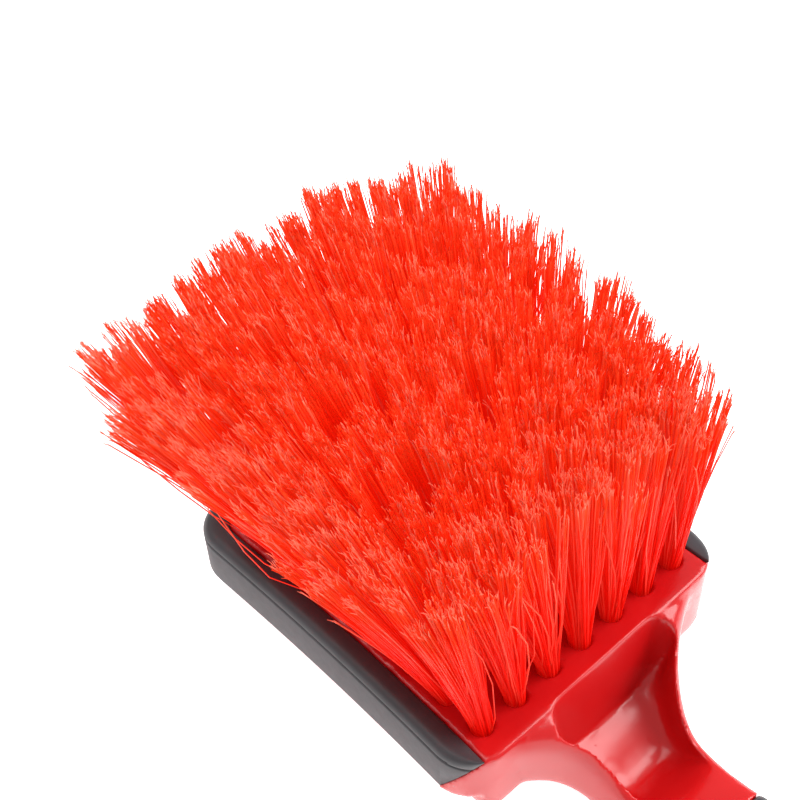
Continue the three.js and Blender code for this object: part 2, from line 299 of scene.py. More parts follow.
ridge = from_head([NEAR_EDGE, 0, HEAD_THICKNESS])
back_edge = from_head([NEAR_EDGE - BACK_EDGE_ROUND, 0, 0])
neck_x = ridge[0] + NECK_LENGTH
handle_end = neck_x + HANDLE_LENGTH
grip_start = neck_x + GRIP_START
grip_end = grip_start + GRIP_LENGTH
handle_turn = (np.arange(HANDLE_SIDES) + 0.5) / HANDLE_SIDES * 2 * np.pi


def new_piece(name, vertices, quads, triangles=(), smooth=True):
    """An object at the origin from arrays of vertices, four-sided and three-sided faces."""
    quads = np.asarray(quads, np.int32).reshape(-1, 4)
    triangles = np.asarray(triangles, np.int32).reshape(-1, 3)
    corners = np.concatenate([quads.ravel(), triangles.ravel()])
    starts = np.concatenate([
        np.arange(len(quads)) * 4,
        len(quads) * 4 + np.arange(len(triangles)) * 3,
    ])
    mesh = bpy.data.meshes.new(name)
    mesh.vertices.add(len(vertices))
    mesh.vertices.foreach_set("co", np.asarray(vertices, np.float32).ravel())
    mesh.loops.add(len(corners))
    mesh.loops.foreach_set("vertex_index", corners.astype(np.int32))
    mesh.polygons.add(len(starts))
    mesh.polygons.foreach_set("loop_start", starts.astype(np.int32))
    mesh.polygons.foreach_set("use_smooth", np.full(len(starts), smooth))
    mesh.update(calc_edges=True)
    piece = bpy.data.objects.new(name, mesh)
    bpy.context.scene.collection.objects.link(piece)
    return piece


def skin(rings):
    """Faces over a grid of closed rings, (rings, sides, 3): quads between rings, a fan on each end."""
    count, sides = rings.shape[:2]
    ring, side = np.meshgrid(np.arange(count - 1), np.arange(sides), indexing="ij")
    a = ring * sides + side
    b = ring * sides + (side + 1) % sides
    quads = np.stack([a, b, b + sides, a + sides], axis=-1).reshape(-1, 4)
    vertices = rings.reshape(-1, 3)
    first, last = len(vertices), len(vertices) + 1
    side = np.arange(sides)
    after = (side + 1) % sides
    end = (count - 1) * sides
    fans = np.concatenate([
        np.stack([np.full(sides, first), after, side], axis=-1),
        np.stack([np.full(sides, last), end + side, end + after], axis=-1),
    ])
    vertices = np.concatenate([vertices, rings[:1].mean(1), rings[-1:].mean(1)])
    return vertices, quads, fans


def core_outline(inset):
    """Closed anticlockwise outline of the red block, shrunk by inset: arcs at its corners, and sides
    that bow inwards by the waist, as a parabola. Every outline has the same number of points."""
    half_width = CORE_HALF_WIDTH - inset
    near_radius, far_radius = NEAR_CORNER - inset, CORE_CORNER - inset
    start = math.asin((half_width - near_centre[1]) / near_radius)
    corners = (
        (near_centre, near_radius, 0, start),
        (far_centre, far_radius, math.pi / 2, math.pi),
        ((far_centre[0], -far_centre[1]), far_radius, math.pi, math.pi * 1.5),
        ((near_centre[0], -near_centre[1]), near_radius, -start, 0),
    )
    arcs = []
    for centre, radius, begin, end in corners:
        angle = np.linspace(begin, end, 14)
        arcs.append(np.array(centre) + radius * np.stack([np.cos(angle), np.sin(angle)], axis=-1))
    points = []
    for index, arc in enumerate(arcs):
        points.append(arc)
        following = arcs[(index + 1) % len(arcs)][0]
        share = np.linspace(0, 1, 90)[1:-1, None]
        side = arc[-1] + (following - arc[-1]) * share
        if index % 2 == 0:
            side[:, 1] -= np.sign(side[:, 1]) * WAIST * (1 - (2 * share[:, 0] - 1) ** 2)
        points.append(side)
    return np.concatenate(points)


def rounded_levels(low, high, low_round, high_round):
    """(height, inset) pairs up a wall whose edges are quarter circles of the two radii."""
    turn = np.linspace(0, math.pi / 2, EDGE_STEPS)
    along, inset = 1 - np.sin(turn), 1 - np.cos(turn)
    lower = np.stack([low + low_round * along, low_round * inset], axis=-1)[::-1]
    upper = np.stack([high - high_round * along, high_round * inset], axis=-1)
    return np.concatenate([lower, upper])


def at_height(outline, height):
    """The points of a flat outline, all at one height."""
    return np.concatenate([outline, np.full((len(outline), 1), height)], axis=1)


def post_rings():
    """The near corners at the head's full width: a rounded plan from the middle of the head to the
    ridge, between the bumper's lower and upper edges."""
    rings = []
    low = HEAD_THICKNESS - BUMPER_HEIGHT
    for height, inset in rounded_levels(low, HEAD_THICKNESS, BUMPER_EDGE, FACE_EDGE_ROUND):
        half_width = CORE_HALF_WIDTH + BUMPER_THICKNESS - inset
        angle = np.linspace(0, math.pi / 2, 24)
        circle = np.stack([np.cos(angle), np.sin(angle)], axis=-1)
        corner = np.array(near_centre) + (NEAR_CORNER - inset) * circle
        back = np.array([[0, half_width], [0, -half_width]])
        flat = np.concatenate([corner, back, corner[::-1] * [1, -1]])
        rings.append(at_height(flat, height))
    return from_head(np.stack(rings))


near_centre = (NEAR_EDGE - NEAR_CORNER, CORE_HALF_WIDTH + BUMPER_THICKNESS - NEAR_CORNER)
NEAR_CORNER_TIP = near_centre[0] + math.sqrt(NEAR_CORNER**2 - (NEAR_CORNER - BUMPER_THICKNESS) ** 2)
far_centre = (CORE_FAR_EDGE + CORE_CORNER, CORE_HALF_WIDTH - CORE_CORNER)
block_levels = rounded_levels(0, HEAD_THICKNESS, BACK_EDGE_ROUND, FACE_EDGE_ROUND)
block_rings = np.stack([
    from_head(at_height(core_outline(inset), height)) for height, inset in block_levels
])


def ease(share):
    """Goes smoothly from 0 to 1 as the share does, half a cosine wave."""
    return (1 - np.cos(np.pi * np.clip(share, 0, 1))) / 2


def half_width_at(x):
    """Half the handle's width: an exponential flare at the shoulders, then neck, palm swell and end."""
    shoulder = CORE_HALF_WIDTH + BUMPER_THICKNESS - NEAR_CORNER
    flare = np.exp(-np.maximum(x - ridge[0], 0) / SHOULDER_FLARE)
    taper = ease((x - neck_x) / HANDLE_TAPER)
    neck = NECK_WIDTH / 2 + (shoulder - NECK_WIDTH / 2) * flare
    return neck + (HANDLE_WIDTH - NECK_WIDTH) / 2 * taper + swell_at(x) / 2


def swell_at(x):
    """What the palm swell and the flared end add to the handle's width."""
    palm = ease((x - grip_start) / GRIP_LENGTH * 2) * ease((grip_end - x) / GRIP_LENGTH * 2)
    return PALM_SWELL * palm + END_FLARE * ease((x - handle_end + END_FLARE_LENGTH) / END_FLARE_LENGTH)


def back_at(x):
    """Height of the handle's back, which falls from the head's back to a little below the table."""
    fall = ease((x - back_edge[0]) / (neck_x - back_edge[0]))
    top = back_edge[2] + 0.5 * MM
    return top + (-BACK_FLAT_CUT - top) * fall


def front_at(x):
    """Height of the handle's bristle side, which falls from the ridge to the neck and rises again."""
    rise_back = (HANDLE_THICKNESS - NECK_THICKNESS) * ease((x - neck_x) / HANDLE_TAPER) + swell_at(x)
    top = ridge[2] - SHOULDER_DROP
    return top + (NECK_THICKNESS - top) * ease((x - ridge[0]) / NECK_LENGTH) + rise_back


def handle_rings(x, inset, scale):
    """Superelliptic rings across the handle, boxy at the neck and rounder in the hand."""
    half_width = (half_width_at(x) - inset) * scale
    half_height = ((front_at(x) - back_at(x)) / 2 - inset) * scale
    middle = (front_at(x) + back_at(x)) / 2
    taper = ease((x - neck_x) / HANDLE_TAPER)
    squareness = NECK_SQUARENESS + (GRIP_SQUARENESS - NECK_SQUARENESS) * taper
    cosine, sine = np.cos(handle_turn)[None], np.sin(handle_turn)[None]
    power = (2 / squareness)[:, None]
    y = half_width[:, None] * np.sign(cosine) * np.abs(cosine) ** power
    z = middle[:, None] + half_height[:, None] * np.sign(sine) * np.abs(sine) ** power
    return np.stack([np.broadcast_to(x[:, None], y.shape), y, z], axis=-1)


def handle_stations():
    """Places of the rings along the handle, their scale in the rounded end, and how far each is inset
    under the grip."""
    shoulder = np.linspace(ridge[0] - 6 * MM, ridge[0], 3)[:-1]
    neck = ridge[0] + NECK_LENGTH * np.linspace(0, 1, 40)[:-1]
    straight = np.linspace(neck_x, handle_end - END_ROUND, 200)[:-1]
    turn = np.radians(np.linspace(0, 84, 20))
    end = handle_end - END_ROUND + END_ROUND * np.sin(turn) / math.sin(turn[-1])
    x = np.concatenate([shoulder, neck, straight, end])
    scale = np.concatenate([np.ones(len(x) - len(end)), np.cos(turn)])
    under_grip = (x > grip_start) & (x < grip_end)
    inset = np.where(x < ridge[0] - 1e-6, 1.4 * MM, np.where(under_grip, GRIP_WALL, 0))
    return x, inset, scale


def recess_rings():
    """Rings of the scoop: a U across the neck whose depth fades along it, closed high above the rim.
    Its end wall leans with the head and a little more, so that the core pulls out of the mould."""
    steps, sides = 60, 64
    share = np.linspace(0, 1, steps) ** 1.6
    along = RECESS_LENGTH * share
    x = ridge[0] - END_WALL_SETBACK + along
    rounding = RECESS_CORNER - np.sqrt(RECESS_CORNER**2 - np.maximum(RECESS_CORNER - along, 0) ** 2)
    rim = front_at(np.maximum(x, ridge[0]))
    floor_height = back_at(x) + RECESS_FLOOR
    depth = (rim - floor_height) * (1 - ease(share) ** 3) + 0.5 * MM
    draft = math.tan(RECESS_DRAFT) * (1 - share)
    angle = np.pi * np.arange(sides + 1) / sides
    cosine, sine = np.cos(angle)[None], np.sin(angle)[None]
    z = rim[:, None] - depth[:, None] * np.abs(sine) ** RECESS_POWER
    z = np.concatenate([z, np.broadcast_to((rim + HEAD_THICKNESS)[:, None], (steps, 2))], axis=1)
    across = np.concatenate([-np.sign(cosine) * np.abs(cosine) ** RECESS_POWER, [[1, -1]]], axis=1)
    x = x[:, None] + (ridge[2] - z) * draft[:, None]
    half_width = np.minimum(RECESS_WIDTH / 2, half_width_at(x) - RECESS_WALL) - rounding[:, None]
    return np.stack([x, half_width * across, z], axis=-1)


def turned(profile, centre, axis, sides):
    """Rings of a profile of (radius, height) pairs turned about an axis through centre."""
    axis = np.asarray(axis, float)
    side = np.cross(axis, [0, 1, 0])
    side /= np.linalg.norm(side)
    other = np.cross(axis, side)
    angle = np.arange(sides) / sides * 2 * np.pi
    circle = np.cos(angle)[:, None] * side + np.sin(angle)[:, None] * other
    profile = np.asarray(profile, float)
    return centre + profile[:, None, :1] * circle[None] + profile[:, None, 1:] * axis


def cut(piece, cutters, operation="DIFFERENCE"):
    """Joins the cutters to the piece, or takes them away, one boolean after another."""
    for cutter in cutters:
        step = piece.modifiers.new("cut", "BOOLEAN")
        step.operation = operation
        step.solver = "MANIFOLD"
        step.object = cutter
    settle(piece)
    for cutter in cutters:
        bpy.data.objects.remove(cutter)


def settle(piece):
    """Replaces the piece's mesh by the result of its modifiers, and removes them."""
    depsgraph = bpy.context.evaluated_depsgraph_get()
    mesh = bpy.data.meshes.new_from_object(piece.evaluated_get(depsgraph))
    piece.modifiers.clear()
    piece.data = mesh


def corner_wedge(name, margin):
    """A solid in front of the plane that slopes back from the near corners of the face, moved back
    by margin: where the bumper's ends meet the red block."""
    slope = np.array([-math.sin(BUMPER_END_SLOPE), 0, -math.cos(BUMPER_END_SLOPE)])
    front = np.array([math.cos(BUMPER_END_SLOPE), 0, -math.sin(BUMPER_END_SLOPE)])
    corner = np.array([NEAR_CORNER_TIP - margin, 0, HEAD_THICKNESS])
    span, reach = 0.06, 0.05
    face = [
        corner + slope * reach * down + np.array([0, side * span, 0])
        for down, side in ((1, -1), (1, 1), (-1, 1), (-1, -1))
    ]
    rings = np.stack([face, np.array(face) + front * 0.04])
    return new_piece(name, *skin(from_head(rings)))


hole_profile = (
    (HOLE_RADIUS * 0.9, -HOLE_DEPTH),
    (HOLE_RADIUS, -HOLE_DEPTH + 0.2 * MM),
    (HOLE_RADIUS, -HOLE_LIP),
    (HOLE_RADIUS + HOLE_LIP, 0),
    (HOLE_RADIUS + HOLE_LIP, 1 * MM),
)
tuft_rows, tuft_columns = np.meshgrid(np.arange(ROWS), np.arange(COLUMNS), indexing="ij")
tuft_x = NEAR_ROW - tuft_rows.ravel() * ROW_PITCH
tuft_y = (tuft_columns.ravel() - (COLUMNS - 1) / 2) * COLUMN_PITCH
tuft_seats = np.stack([tuft_x, tuft_y, np.full(tuft_x.shape, HEAD_THICKNESS)], axis=-1)

drill_vertices, drill_quads, drill_fans = [], [], []
one_hole = skin(turned(hole_profile, from_head([0, 0, 0]), head_up, 24))
for index, seat in enumerate(tuft_seats):
    drill_vertices.append(one_hole[0] + seat @ head_axes)
    drill_quads.append(one_hole[1] + index * len(one_hole[0]))
    drill_fans.append(one_hole[2] + index * len(one_hole[0]))
drills = new_piece(
    "drills",
    np.concatenate(drill_vertices),
    np.concatenate(drill_quads),
    np.concatenate(drill_fans),
)

station_x, station_inset, station_scale = handle_stations()
moulding = new_piece("red_moulding", *skin(block_rings))
stem = new_piece("stem", *skin(handle_rings(station_x, station_inset, station_scale)))
scoop = new_piece("scoop", *skin(recess_rings()))
reach = TABLE_CUT_REACH
table_cut_rings = np.array([
    [(x, y, z) for y, z in ((-reach, -reach), (reach, -reach), (reach, 0.0), (-reach, 0.0))]
    for x in (back_edge[0], handle_end + END_ROUND)
])
table_cut = new_piece("table_cut", *skin(table_cut_rings))
hang_centre = np.array([handle_end - HANG_HOLE_FROM_END, 0, 0])
hang_top = float(front_at(hang_centre[:1])[0])
hang_profile = (
    (HANG_HOLE_RADIUS + 3 * MM, -2 * MM),
    (HANG_HOLE_RADIUS + 1.2 * MM, 0),
    (HANG_HOLE_RADIUS, 1.2 * MM),
    (HANG_HOLE_RADIUS, hang_top - 2.2 * MM),
    (HANG_HOLE_RADIUS + 1.2 * MM, hang_top - 1.0 * MM),
    (HANG_HOLE_RADIUS + 4.0 * MM, hang_top + 1.8 * MM),
)
hang_cut = new_piece("hang_cut", *skin(turned(hang_profile, hang_centre, (0, 0, 1), 48)))
posts = new_piece("corner_posts", *skin(post_rings()))
cut(posts, [corner_wedge("post_cut", 0)], "INTERSECT")
cut(moulding, [stem, posts], "UNION")
cut(moulding, [scoop, drills, table_cut, hang_cut])
mesher = moulding.modifiers.new("even_mesh", "REMESH")
mesher.mode = "VOXEL"
mesher.voxel_size = MOULDING_VOXEL
mesher.adaptivity = 0.1
mesher.use_smooth_shade = True
softener = moulding.modifiers.new("moulded_edges", "SMOOTH")
softener.factor = 0.5
softener.iterations = 3
settle(moulding)

red_paint = Paint("moulded_red")
red_place = red_paint.add("ShaderNodeTexCoord", {}, output="Object")
red_cloud = red_paint.add("ShaderNodeTexNoise", {}, Vector=red_place, Scale=60.0, Detail=2.0)
red_colour = red_paint.add(
    "ShaderNodeValToRGB",
    {"stops": ((0.35, srgb(184, 16, 19)), (0.65, MOULDING_RED))},
    red_cloud,
)
red_gloss = 0.20 + 0.08 * red_paint.add(
    "ShaderNodeTexNoise", {}, Vector=red_place, Scale=220.0, Detail=4.0, Roughness=0.7
)
red_material = red_paint.finish(red_paint.add(
    "ShaderNodeBsdfPrincipled",
    {},
    Base_Color=red_colour,
    Roughness=red_gloss,
    Specular_IOR_Level=0.44,
    Normal=fine_grain(red_paint, 900.0, 0.05, 0.0002),
    Subsurface_Weight=0.10,
    Subsurface_Radius=(1.0, 0.08, 0.05),
    Subsurface_Scale=0.003,
))
moulding.data.materials.clear()
moulding.data.materials.append(red_material)
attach(moulding, "root")
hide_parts("brush_body")


# ---------------------------------------------------------------------------------------------
# Bumper: a band of soft black rubber moulded round the far end and both sides of the head, flush
# with its face, that thins to nothing at the two near corners. A fine groove runs below its
# rounded upper edge.
# ---------------------------------------------------------------------------------------------
BUMPER_GROOVE = 0.45 * MM
BUMPER_GROOVE_WIDTH = 0.7 * MM
SEAM = 0.06 * MM


def bumper_rings():
    """A section carried round the core from one near corner to the other. Across, it is as thick as
    the room between the core's wall and the bumper's outline; up, its outer edges are rounded."""
    half_outer = CORE_HALF_WIDTH + BUMPER_THICKNESS
    near_end = NEAR_CORNER_TIP
    straight = near_end - far_centre[0]
    # Down the +Y side, round the far end and back along the -Y side.
    side = np.linspace(0, 1, 150)
    side_x = near_end - straight * side
    bow = WAIST * (1 - (2 * np.clip((side_x - far_centre[0]) / straight, 0, 1) - 1) ** 2)
    right_in = np.stack([side_x, CORE_HALF_WIDTH - bow], axis=-1)
    room = np.where(
        side_x > near_centre[0],
        near_centre[1] + np.sqrt(np.maximum(NEAR_CORNER**2 - (side_x - near_centre[0]) ** 2, 0)),
        half_outer,
    ) - CORE_HALF_WIDTH
    right_out = np.stack([side_x, CORE_HALF_WIDTH - bow + np.maximum(room, 0.05 * MM)], axis=-1)
    angle = np.linspace(math.pi / 2, math.pi, 30)[1:]
    arc_in = np.array(far_centre) + CORE_CORNER * np.stack([np.cos(angle), np.sin(angle)], axis=-1)
    outer_centre = np.array([CORE_FAR_EDGE - BUMPER_THICKNESS + FAR_CORNER, half_outer - FAR_CORNER])
    arc_out = outer_centre + FAR_CORNER * np.stack([np.cos(angle), np.sin(angle)], axis=-1)
    end_y = np.linspace(far_centre[1], -far_centre[1], 80)[1:-1]
    end_in = np.stack([np.full(end_y.shape, CORE_FAR_EDGE), end_y], axis=-1)
    end_out_y = np.linspace(outer_centre[1], -outer_centre[1], 80)[1:-1]
    end_out = np.stack([np.full(end_y.shape, CORE_FAR_EDGE - BUMPER_THICKNESS), end_out_y], axis=-1)
    mirror = np.array([1, -1])

    def all_round(side, arc, end):
        """One line down a side, round the far end and back along the other side."""
        return np.concatenate([side, arc, end, arc[::-1] * mirror, side[::-1] * mirror])

    inner = all_round(right_in, arc_in, end_in)
    outer = all_round(right_out, arc_out, end_out)
    span = np.linalg.norm(outer - inner, axis=1)[:, None]
    round_edge = np.minimum(BUMPER_EDGE, span * 0.48)
    turn = np.linspace(0, math.pi / 2, 10)
    low, high = HEAD_THICKNESS - BUMPER_HEIGHT, HEAD_THICKNESS
    # Distances out from the core, and heights, of one section: inner bottom, outer edges, inner top.
    out_low = span - round_edge * (1 - np.sin(turn))
    z_low = low + round_edge * (1 - np.cos(turn))
    groove_z = high - BUMPER_EDGE - BUMPER_GROOVE_WIDTH * np.array([1.6, 1.05, 0.8, 0.5, 0.2, -0.05])
    groove_in = np.minimum(BUMPER_GROOVE, span * 0.15) * np.array([0, 0.25, 1.0, 1.0, 0.25, 0])
    out_groove = span - groove_in
    z_groove = np.broadcast_to(groove_z, out_groove.shape)
    out_high = span - round_edge * (1 - np.cos(turn))
    z_high = high - round_edge * (1 - np.sin(turn))
    seam = np.full(span.shape, SEAM)
    soft = 0.35 * MM
    out = np.concatenate([seam, out_low, out_groove, out_high, seam + soft, seam], axis=1)
    height = np.concatenate([
        np.full(span.shape, low), z_low, z_groove, z_high,
        np.full(span.shape, high), np.full(span.shape, high - soft * 0.7),
    ], axis=1)
    share = np.minimum(out / np.maximum(span, 1e-9), 1)
    flat = inner[:, None] + (outer - inner)[:, None] * share[..., None]
    return np.concatenate([flat, height[..., None]], axis=-1)


bumper = new_piece("rubber_bumper", *skin(from_head(bumper_rings())))
cut(bumper, [corner_wedge("end_cut", SEAM)])

rubber_paint = Paint("satin_rubber")
rubber_place = rubber_paint.add("ShaderNodeTexCoord", {}, output="Object")
rubber_cloud = rubber_paint.add("ShaderNodeTexNoise", {}, Vector=rubber_place, Scale=90.0, Detail=4.0)
rubber_colour = rubber_paint.add(
    "ShaderNodeValToRGB",
    {"stops": ((0.3, srgb(46, 43, 46)), (0.7, srgb(56, 53, 57)))},
    rubber_cloud,
)
rubber_gloss = 0.42 + 0.16 * rubber_paint.add(
    "ShaderNodeTexNoise", {}, Vector=rubber_place, Scale=500.0, Detail=3.0, Roughness=0.6
)
rubber_material = rubber_paint.finish(rubber_paint.add(
    "ShaderNodeBsdfPrincipled",
    {},
    Base_Color=rubber_colour,
    Roughness=rubber_gloss,
    Normal=fine_grain(rubber_paint, 1600.0, 0.12, 0.0002),
))
bumper.data.materials.clear()
bumper.data.materials.append(rubber_material)
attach(bumper, "root")
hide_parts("bumper")


# ---------------------------------------------------------------------------------------------
# Grip: a sleeve of the same soft black rubber, moulded over the waisted stretch of the handle,
# with a field of shallow ribs across the palm and a smooth border at each end.
# ---------------------------------------------------------------------------------------------
RIB_PITCH = 3.6 * MM
RIB_DEPTH = 0.7 * MM
RIB_BORDER = 12 * MM


def grip_rings():
    """The handle's own section between the grip's ends, with rounded lips, less a rib pattern: the
    depth is a raised cosine along x, faded out towards the ends and round to the flat back."""
    x = np.linspace(grip_start + 0.15 * MM, grip_end - 0.15 * MM, 420)
    outer = handle_rings(x, np.zeros(len(x)), np.ones(len(x)))
    inside = np.minimum(x - grip_start, grip_end - x)
    fade = ease((inside - RIB_BORDER) / (6 * MM))
    wave = ease(1.6 * (0.5 + 0.5 * np.cos(2 * np.pi * x / RIB_PITCH)) - 0.3)
    sides = ease((np.sin(handle_turn) + 0.55) / 0.5)
    depth = RIB_DEPTH * fade[:, None] * wave[:, None] * sides[None]
    lip = 1.2 * MM
    close = np.clip(1 - inside / lip, 0, 1)
    depth += (lip * (1 - np.sqrt(np.maximum(1 - close**2, 0))))[:, None] * 0.7
    middle = outer.mean(axis=1, keepdims=True)
    radial = outer - middle
    length = np.linalg.norm(radial, axis=-1, keepdims=True)
    rings = outer - radial / length * depth[..., None]
    rings[..., 2] = np.maximum(rings[..., 2], 0)
    inner = handle_rings(x[[-1, 0]], np.full(2, GRIP_WALL - 0.1 * MM), np.ones(2))
    return np.concatenate([rings, inner, rings[:1]])


grip_all = grip_rings()
grip_vertices, grip_quads, _ = skin(grip_all)
# The last ring repeats the first, so faces that use it are joined to the first instead.
grip_last_ring = (len(grip_all) - 1) * HANDLE_SIDES
grip_quads[grip_quads >= grip_last_ring] -= grip_last_ring
grip = new_piece("grip_sleeve", grip_vertices[:grip_last_ring], grip_quads)
grip.data.materials.append(rubber_material)
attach(grip, "root")
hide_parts("handle_grip")


# ---------------------------------------------------------------------------------------------
# Tufts: each is a bundle of orange-red nylon filaments folded over a flat wire anchor at the
# bottom of its hole. The filaments stand straight in the hole, fan out above the face, and their
# ends are flagged: split into finer hairs that curl apart.
# ---------------------------------------------------------------------------------------------
BRISTLE_LENGTH = 57 * MM
# Leans in degrees at the near, middle and far rows (down) and the left, middle and right columns.
LEANS_ALONG = ((-2, -1, 1), (-14, -10, -1), (-22, -27, -14))
LEANS_ACROSS = ((-12, -7, -2), (-19, -7, 1), (-15, -5, 4))
LEAN_SCATTER = math.radians(1.8)
LENGTH_SCATTER = 0.014
FILAMENTS = 220
FILAMENT_RADIUS = 0.17 * MM
HAIR_RADIUS = 0.09 * MM
HAIRS = 2
TIP_SPREAD = 9.2 * MM
CLUMPS = 10
# Aims at the tips, in shares of TIP_SPREAD.
WIDEST_AIM = 1.1
LEAST_PULL, MORE_PULL = 0.45, 0.25
CLUMP_DRIFT = 0.10
AIM_SCATTER = 0.09
LOOSE_AIM_SCATTER = 0.4
# Lengths, in shares of BRISTLE_LENGTH.
MEAN_LENGTH, MOST_LENGTH = 0.985, 1.015
CLUMP_LENGTH_SCATTER = 0.030
FILAMENT_LENGTH_SCATTER = 0.012
LOOSE_SHORTER = 0.25
FLAG_START, FLAG_LATER = 0.93, 0.04
BEND = 0.35 * MM
CRIMP = 0.07 * MM
THINNEST, THICKEST = 0.13 * MM, 0.24 * MM
# Share of loose filaments, and the power that makes few or many of the others pale with painted sheen,
# for the tufts in the near row and the left column and for the others.
LOOSE_OUTSIDE, LOOSE_INSIDE = 0.07, 0.03
SHEEN_OUTSIDE, SHEEN_INSIDE = 0.5, 1.8


def unit(vectors):
    """Each vector over its own length."""
    return vectors / np.maximum(np.linalg.norm(vectors, axis=-1, keepdims=True), 1e-12)


def tubes(paths, radii, hint):
    """Three-sided tubes along paths (count, points, 3) with a radius at each point. The section is
    turned from a side vector made square to the path, from the hint. Returns vertices and faces."""
    count, points = paths.shape[:2]
    tangent = unit(np.gradient(paths, axis=1))
    side = unit(hint - (hint * tangent).sum(-1, keepdims=True) * tangent)
    other = np.cross(tangent, side)
    angle = np.arange(3) * 2 * np.pi / 3
    ring = np.cos(angle)[:, None] * side[..., None, :] + np.sin(angle)[:, None] * other[..., None, :]
    vertices = (paths[..., None, :] + radii[..., None, None] * ring).reshape(-1, 3)
    strand, point, corner = np.meshgrid(
        np.arange(count), np.arange(points - 1), np.arange(3), indexing="ij"
    )
    start = (strand * points + point) * 3
    a, b = start + corner, start + (corner + 1) % 3
    quads = np.stack([a, b, b + 3, a + 3], axis=-1).reshape(-1, 4)
    first = np.arange(count) * points * 3
    last = first + (points - 1) * 3
    caps = np.concatenate([
        np.stack([first, first + 2, first + 1], axis=-1),
        np.stack([last, last + 1, last + 2], axis=-1),
    ])
    return vertices, quads, caps


def between(table, row, column):
    """An angle in radians from a table of three by three in degrees, at shares 0 to 1 of the way
    down and across, on parabolas through its values."""
    def weights(share):
        return np.array([
            (2 * share - 1) * (share - 1),
            4 * share * (1 - share),
            share * (2 * share - 1),
        ])

    return math.radians(float(weights(row) @ np.array(table, float) @ weights(column)))


